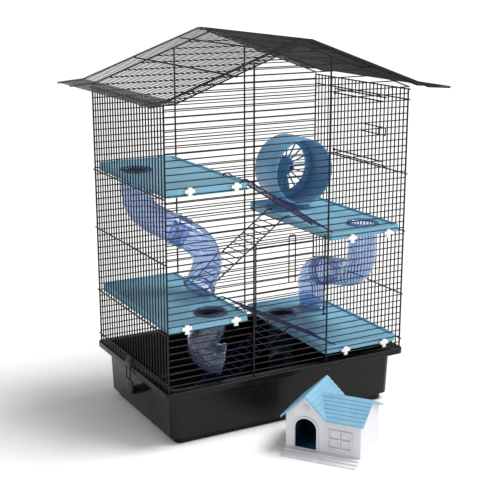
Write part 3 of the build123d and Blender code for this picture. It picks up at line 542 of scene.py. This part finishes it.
# ---------------------------------------------------------------- stage
class CageStage(bpy.types.Operator):
    """Floor, soft studio lights and camera"""

    bl_idname = "cage.stage"
    bl_label = "Stage"

    def execute(self, context):
        scene = context.scene
        sizes = scene.cage_sizes
        lights = scene.cage_lights
        scene.view_settings.view_transform = "Standard"
        deselect()
        bpy.ops.mesh.primitive_grid_add(
            x_subdivisions=8, y_subdivisions=8, size=120, location=(0, 0, cad_bounds[0].z)
        )
        floor = bpy.context.object
        floor.name = "studio_floor"
        give_finish(floor, "Studio paper")
        world = bpy.data.worlds.new("Studio air")
        world.use_nodes = True
        background = world.node_tree.nodes["Background"]
        background.inputs["Color"].default_value = (1, 1, 1, 1)
        background.inputs["Strength"].default_value = lights.sky
        scene.world = world
        self.add_light("High bank", "SUN", lights.sun, (0.8, -0.45, 1.9), angle=radians(32))
        self.add_light("Left strip", "AREA", lights.left, (-1.6, -0.7, 1.1), size=0.5, size_y=1.2)
        self.add_light("Front strip", "AREA", lights.front, (0.5, -2.2, 1.5), size=1.0, size_y=0.5)
        camera = bpy.data.objects.new("Camera", bpy.data.cameras.new("Camera"))
        scene.collection.objects.link(camera)
        camera.location = sizes.camera_place
        camera.rotation_euler = (pi / 2 - sizes.camera_dip, 0, -sizes.camera_turn)
        camera.data.lens = sizes.camera_lens
        camera.data.clip_end = 200
        scene.camera = camera
        return {"FINISHED"}

    def add_light(self, name, kind, energy, place, angle=0.0, size=0.0, size_y=0.0):
        """A light that faces the middle of the cage."""
        light = bpy.data.lights.new(name, kind)
        light.energy = energy
        if kind == "SUN":
            light.angle = angle
        else:
            light.shape = "RECTANGLE"
            light.size = size
            light.size_y = size_y
        lamp = bpy.data.objects.new(name, light)
        bpy.context.scene.collection.objects.link(lamp)
        middle = (cad_bounds[0] + cad_bounds[1]) / 2
        lamp.location = place
        lamp.rotation_euler = (middle - Vector(place)).to_track_quat("-Z", "Y").to_euler()


# ---------------------------------------------------------------- cage
class CageWires(bpy.types.Operator):
    """Panels, roof, doors, latches and clip loops of coated wire"""

    bl_idname = "cage.wires"
    bl_label = "Wires"

    def execute(self, context):
        for node in WIRE_NODES:
            cover_node(node, "Epoxy coated wire")
        return {"FINISHED"}


class CageTray(bpy.types.Operator):
    """Moulded tray"""

    bl_idname = "cage.tray"
    bl_label = "Tray"

    def execute(self, context):
        tray = softened("base_tray", context.scene.cage_sizes.tray_edge, 3)
        finish_piece(tray, "tray_shell", "tray", "black_tray", "Moulded polypropylene tray", "base_tray")
        return {"FINISHED"}


class CagePlatforms(bpy.types.Operator):
    """Platforms and the white clips that hold them"""

    bl_idname = "cage.platforms"
    bl_label = "Platforms"

    def execute(self, context):
        edge = context.scene.cage_sizes.moulded_edge
        for place in PLACES:
            shelf = softened(f"platform_{place}", edge)
            finish_piece(
                shelf, f"shelf_{place}", "wire_top", "platform_blue", "Moulded polystyrene platform",
                f"platform_{place}",
            )
            clips = softened(f"platform_clips_{place}", edge)
            finish_piece(
                clips, f"shelf_clips_{place}", "wire_top", "clip_white", "Moulded nylon clip",
                f"platform_clips_{place}",
            )
        return {"FINISHED"}


class CageSideClips(bpy.types.Operator):
    """Bands of the side clips"""

    bl_idname = "cage.side_clips"
    bl_label = "Side clips"

    def execute(self, context):
        for side in ("left", "right"):
            band = softened(f"{side}_clip_band", context.scene.cage_sizes.fine_edge)
            finish_piece(
                band, f"{side}_band", f"{side}_clip", "black_plastic", "Moulded black nylon",
                f"{side}_clip_band",
            )
        return {"FINISHED"}


class CageLadders(bpy.types.Operator):
    """Four enamelled wire ladders"""

    bl_idname = "cage.ladders"
    bl_label = "Ladders"

    def execute(self, context):
        for index in range(1, 5):
            cover_node(f"ladder_{index}", "Enamelled ladder wire")
        return {"FINISHED"}


# ---------------------------------------------------------------- tubes
class CageTubes(bpy.types.Operator):
    """Clear elbows, with their collars, joiners and rolled mouths"""

    bl_idname = "cage.tubes"
    bl_label = "Tubes"

    def execute(self, context):
        for node in TUBE_NODES:
            finish_piece(
                softened(node), f"clear_{node}", "wire_top", "tube_blue", "Clear tinted polystyrene", node,
                angle=50,
            )
        for place in PLACES:
            self.add_ring(f"tube_collar_{place}", f"collar_{place}", self.collar_profile, flip=False)
        for side in ("left", "right"):
            self.add_ring(f"{side}_tube_joiner", f"joiner_{side}", self.joiner_profile)
        for node in MOUTH_NODES:
            self.add_ring(node, node.replace("mouth_ring", "mouth"), self.mouth_profile)
        return {"FINISHED"}

    def add_ring(self, node, name, profile, flip=True):
        """Turn a ring with the size and place of its CAD node."""
        middle, axis, half = middle_and_axis(node)
        if not flip and axis.z < 0:
            axis = -axis
        reach = [(point.co - middle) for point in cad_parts[node].data.vertices]
        radii = [(arm - axis * arm.dot(axis)).length for arm in reach]
        ring = turned(profile(min(radii), max(radii), half), 64, middle, axis)
        finish_piece(ring, name, "wire_top", "tube_blue", "Clear tinted polystyrene", node, angle=45)

    def collar_profile(self, inner, outer, half):
        """A flange that lies on the platform with a low upstand."""
        wall = outer - inner
        return [
            (inner, -half), (outer - 0.2 * wall, -half), (outer, -0.7 * half), (outer, -0.4 * half),
            (outer - 0.25 * wall, -0.1 * half), (inner + 0.5 * wall, 0.1 * half),
            (inner + 0.45 * wall, 0.8 * half), (inner + 0.25 * wall, half), (inner, half),
        ]

    def joiner_profile(self, inner, outer, half):
        """A sleeve with three grip ribs."""
        low = inner + 0.5 * (outer - inner)
        rib = 0.12 * half
        points = [(inner, -half)]
        for middle in (-0.88 * half, 0, 0.88 * half):
            points += [
                (low, middle - rib), (outer, middle - 0.5 * rib),
                (outer, middle + 0.5 * rib), (low, middle + rib),
            ]
        points.append((inner, half))
        return points

    def mouth_profile(self, inner, outer, half):
        """A rolled bead."""
        wall = (outer - inner) / 2
        turns = [pi * step / 6 for step in range(12)]
        return [(inner + wall + wall * cos(turn), half * sin(turn)) for turn in turns]


# ---------------------------------------------------------------- wheel
class CageWheel(bpy.types.Operator):
    """Exercise wheel with its treads, spokes, axle, cap and stand"""

    bl_idname = "cage.wheel"
    bl_label = "Wheel"

    def execute(self, context):
        sizes = context.scene.cage_sizes
        low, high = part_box("wheel_drum")
        centre = (low + high) / 2
        front = Vector((centre.x, low.y, centre.z))
        radius = (high.x - low.x) / 2
        depth = high.y - low.y
        self.add_drum(sizes, front, radius, depth)
        self.add_hub(sizes, front, radius)
        self.add_axle(front)
        stand = softened("wheel_stand", sizes.stand_edge)
        finish_piece(
            stand, "wheel_foot", "wire_top", "wheel_blue", "Moulded polystyrene wheel", "wheel_stand"
        )
        return {"FINISHED"}

    def add_drum(self, sizes, front, radius, depth):
        wall = sizes.wheel_wall
        lip = sizes.front_lip
        edge = sizes.drum_edge
        inside = radius - wall
        profile = [
            (radius - lip, edge), (radius - lip + 0.4 * edge, 0.3 * edge), (radius - lip + edge, 0),
            (radius - edge, 0), (radius - 0.3 * edge, 0.4 * edge), (radius, edge),
            (radius, depth - edge), (radius - 0.3 * edge, depth - 0.4 * edge), (radius - edge, depth),
            (radius - sizes.back_lip, depth), (radius - sizes.back_lip, depth - wall), (inside, depth - wall),
            (inside, wall), (radius - lip + 0.5 * edge, wall), (radius - lip, wall - 0.4 * edge),
        ]
        drum = turned(profile, 128, front, (0, 1, 0))
        count = round(2 * pi * inside / sizes.tread_pitch)
        rise = sizes.tread_height
        ramp = [
            (-1.1 * rise, -0.2 * rise), (-0.4 * rise, rise), (0.4 * rise, rise), (1.1 * rise, -0.2 * rise),
        ]
        tread = drawn(ramp, wall - 0.1 * MM, depth - wall + 0.1 * MM, turn=pi / 2)
        place_piece(tread, Matrix.Translation(front - Vector((0, 0, inside))))
        treads = ringed(tread, count, front, "Y")
        drum = join_pieces([drum, treads])
        finish_piece(drum, "wheel_shell", "wheel", "wheel_blue", "Moulded polystyrene wheel", "wheel_drum")

    def add_hub(self, sizes, front, radius):
        low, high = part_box("wheel_hub")
        plate = sizes.hub_plate
        disc = sizes.hub_disc
        boss = sizes.hub_boss
        bore = sizes.hub_bore
        back = high.y - low.y
        cone = back - plate
        profile = [
            (bore, 0), (boss - 0.8 * MM, 0), (boss, 0.8 * MM), (boss + 0.5 * (disc - boss), 0.5 * cone),
            (disc - 1.6 * MM, cone - 1 * MM), (disc - 0.4 * MM, cone), (disc, cone + 0.6 * MM),
            (disc, back - 0.6 * MM), (disc - 0.6 * MM, back), (bore, back),
        ]
        hub = turned(profile, 72, Vector((front.x, low.y, front.z)), (0, 1, 0))
        half = sizes.spoke_width / 2
        rim = radius - sizes.back_lip
        bar = [(-half, 0), (half, 0), (half, plate), (-half, plate)]
        spoke = drawn(bar, disc - 1 * MM, rim + 1 * MM)
        apply_bevel(spoke, 0.5 * MM)
        upright = Matrix.Rotation(-pi / 2, 4, "X")
        place_piece(spoke, Matrix.Translation(Vector((front.x, high.y - plate, front.z))) @ upright)
        spokes = ringed(spoke, sizes.spokes, front, "Y")
        rim_outer = radius - sizes.wheel_wall - 0.1 * MM
        ring = turned(
            [(rim, 0), (rim_outer, 0), (rim_outer, plate), (rim, plate)], 128,
            Vector((front.x, high.y - plate, front.z)), (0, 1, 0),
        )
        wheel = join_pieces([hub, spokes, ring])
        finish_piece(wheel, "wheel_spider", "wheel", "wheel_blue", "Moulded polystyrene wheel", "wheel_hub")

    def add_axle(self, front):
        low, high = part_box("wheel_axle")
        reach = high.y - low.y
        pin = (high.x - low.x) / 2
        edge = 0.5 * MM
        axle = turned(
            [(0, 0), (pin - edge, 0), (pin, edge), (pin, reach - edge), (pin - edge, reach), (0, reach)], 48,
            Vector((front.x, low.y, front.z)), (0, 1, 0), closed=False,
        )
        finish_piece(axle, "axle_pin", "wire_top", "axle_steel", "Turned steel", "wheel_axle")
        low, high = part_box("wheel_cap")
        reach = high.y - low.y
        round_cap = (high.x - low.x) / 2
        turns = [pi / 2 * step / 6 for step in range(7)]
        dome = [(round_cap * sin(turn), 0.5 * reach * (1 - cos(turn))) for turn in turns]
        cap = turned(
            dome + [(round_cap, 0.85 * reach), (0.9 * round_cap, reach), (0, reach)], 48,
            Vector((front.x, low.y, front.z)), (0, 1, 0), closed=False,
        )
        finish_piece(
            cap, "axle_cap", "wire_top", "black_plastic", "Moulded black nylon", "wheel_cap", angle=50
        )


# ---------------------------------------------------------------- house
class CageHouse(bpy.types.Operator):
    """Walls, steps, door surround, window and round ornament of the house"""

    bl_idname = "cage.house"
    bl_label = "House"

    def execute(self, context):
        sizes = context.scene.cage_sizes
        edges = {
            "walls": 0.0,
            "steps": sizes.fine_edge,
            "door_frame": sizes.fine_edge,
            "window": sizes.window_edge,
        }
        for part, edge in edges.items():
            piece = softened(f"house_{part}", edge)
            finish_piece(
                piece, f"cottage_{part}", "house", "house_white", "Moulded styrene house wall",
                f"house_{part}",
            )
            if part == "walls":
                self.line_inside_with_painted_shade(sizes, piece)
        self.add_medallion(sizes)
        return {"FINISHED"}

    def line_inside_with_painted_shade(self, sizes, walls):
        """Give the inner faces of the walls a dark blue finish: blue for the moulding seen inside, and dark
        as painted shade, since the closed house is unlit inside.
        """
        walls.data.materials.append(finish_material("Moulded styrene lining"))
        along = Matrix.Rotation(-sizes.house_turn, 3, "Z")
        points = in_house("house_walls")
        low = Vector([min(point[axis] for point in points) for axis in range(3)])
        high = Vector([max(point[axis] for point in points) for axis in range(3)])
        depth = 1.8 * MM
        for face in walls.data.polygons:
            spot = along @ face.center
            inside = all(low[axis] + depth < spot[axis] < high[axis] - depth for axis in (0, 1))
            outward = (spot - (low + high) / 2).dot(along @ face.normal)
            if inside and outward < 0:
                face.material_index = 1

    def add_medallion(self, sizes):
        """A round boss with a dished middle."""
        points = in_house("house_medallion")
        back = max(point.y for point in points)
        reach = back - min(point.y for point in points)
        left = min(point.x for point in points)
        right = max(point.x for point in points)
        rise = sum(point.z for point in points) / len(points)
        outer = (right - left) / 2
        profile = [
            (outer, 0), (outer, 0.35 * reach), (0.93 * outer, 0.62 * reach), (0.8 * outer, 0.66 * reach),
            (0.74 * outer, 0.4 * reach), (0.66 * outer, 0.4 * reach), (0.58 * outer, 0.85 * reach),
            (0.3 * outer, reach), (0, reach),
        ]
        turn = Matrix.Rotation(sizes.house_turn, 3, "Z")
        centre = turn @ Vector(((left + right) / 2, back, rise))
        boss = turned([(0, 0)] + profile, 64, centre, turn @ Vector((0, -1, 0)), closed=False)
        finish_piece(
            boss, "cottage_medallion", "house", "house_white", "Moulded styrene house wall", "house_medallion"
        )


class CageHouseRoof(bpy.types.Operator):
    """Roof of the house with its lapped boards"""

    bl_idname = "cage.house_roof"
    bl_label = "House roof"

    def execute(self, context):
        sizes = context.scene.cage_sizes
        points = in_house("house_roof")
        low = Vector([min(point[axis] for point in points) for axis in range(3)])
        high = Vector([max(point[axis] for point in points) for axis in range(3)])
        near = 0.05 * MM
        ridge = [point for point in points if point.z > high.z - near]
        eave_left = [point for point in points if point.x < low.x + near]
        gable_middle = sum(point.x for point in ridge) / len(ridge)
        gable_slope = (high.z - max(point.z for point in eave_left)) / (gable_middle - low.x)
        end = [point for point in points if point.x > high.x - near]
        wing_ridge = max(point.z for point in end)
        tops = [point for point in end if point.z > wing_ridge - near]
        wing_middle = sum(point.y for point in tops) / len(tops)
        front_eave = [point for point in end if point.y < low.y + near]
        wing_slope = (wing_ridge - max(point.z for point in front_eave)) / (wing_middle - low.y)
        shell = sizes.roof_shell
        half = gable_middle - low.x
        gable = self.tent(sizes, -gable_middle, high.z, half, half, gable_slope, low.y, high.y, pi / 2)
        wing = self.tent(
            sizes, wing_middle, wing_ridge, wing_middle - low.y, high.y - wing_middle, wing_slope,
            gable_middle, high.x, 0,
        )
        combine(gable, wing, "UNION")
        over = 2 * MM
        under = self.space(-gable_middle, high.z, half + over, half + over, gable_slope, shell, low.y - over,
                           high.y + over, pi / 2)
        combine(gable, under, "DIFFERENCE")
        under = self.space(wing_middle, wing_ridge, wing_middle - low.y + over, high.y - wing_middle + over,
                           wing_slope, shell, gable_middle, high.x + over, 0)
        combine(gable, under, "DIFFERENCE")
        place_piece(gable, Matrix.Rotation(sizes.house_turn, 4, "Z"))
        finish_piece(
            gable, "cottage_roof", "house_roof", "house_blue", "Moulded styrene house roof", "house_roof",
            angle=20,
        )
        return {"FINISHED"}

    def tent(self, sizes, middle, ridge, left, right, slope, start, end, turn):
        """A solid roof whose two slopes are lapped boards."""
        lean = (1 + slope**2) ** 0.5
        step_down = sizes.lap * lean
        floor = ridge - max(left, right) * slope - 6 * MM
        outline = []
        for way, reach in ((-1, left), (1, right)):
            count = round(reach * lean / sizes.board)
            side = []
            for board in range(count):
                upper = reach * board / count
                lower = reach * (board + 1) / count
                side.append((middle + way * upper, ridge - upper * slope - step_down))
                side.append((middle + way * lower, ridge - lower * slope))
            if way < 0:
                outline = side[::-1]
                outline.insert(0, (middle - reach, floor))
            else:
                outline += side[1:]
                outline.append((middle + reach, floor))
        return drawn(outline, start, end, turn)

    def space(self, middle, ridge, left, right, slope, shell, start, end, turn):
        """The space under a roof, one shell below its slopes."""
        top = ridge - shell * (1 + slope**2) ** 0.5
        floor = ridge - 200 * MM
        outline = [
            (middle - left, floor), (middle - left, top - left * slope), (middle, top),
            (middle + right, top - right * slope), (middle + right, floor),
        ]
        return drawn(outline, start, end, turn)


class VIEW3D_PT_cage(bpy.types.Panel):
    """The steps that make the cage, in order"""

    bl_idname = "VIEW3D_PT_cage"
    bl_label = "Hamster cage"
    bl_space_type = "VIEW_3D"
    bl_region_type = "UI"
    bl_category = "Cage"

    def draw(self, context):
        layout = self.layout
        for step in STEPS:
            layout.operator(step.bl_idname)
        scene = context.scene
        for group in (scene.cage_colours, scene.cage_sizes, scene.cage_lights):
            box = layout.box()
            for name in group.__annotations__:
                box.prop(group, name)


STEPS = (
    CageStage, CageWires, CageTray, CagePlatforms, CageSideClips, CageLadders, CageTubes, CageWheel,
    CageHouse, CageHouseRoof,
)
CLASSES = (CageColours, CageSizes, CageLights) + STEPS + (VIEW3D_PT_cage,)


def register():
    for kind in CLASSES:
        bpy.utils.register_class(kind)
    bpy.types.Scene.cage_colours = PointerProperty(type=CageColours)
    bpy.types.Scene.cage_sizes = PointerProperty(type=CageSizes)
    bpy.types.Scene.cage_lights = PointerProperty(type=CageLights)


def unregister():
    del bpy.types.Scene.cage_lights
    del bpy.types.Scene.cage_sizes
    del bpy.types.Scene.cage_colours
    for kind in reversed(CLASSES):
        bpy.utils.unregister_class(kind)


def main():
    register()
    bpy.ops.cage.stage()
    bpy.ops.cage.wires()
    bpy.ops.cage.tray()
    bpy.ops.cage.platforms()
    bpy.ops.cage.side_clips()
    bpy.ops.cage.ladders()
    bpy.ops.cage.tubes()
    bpy.ops.cage.wheel()
    bpy.ops.cage.house()
    bpy.ops.cage.house_roof()


if __name__ == "__main__":
    main()
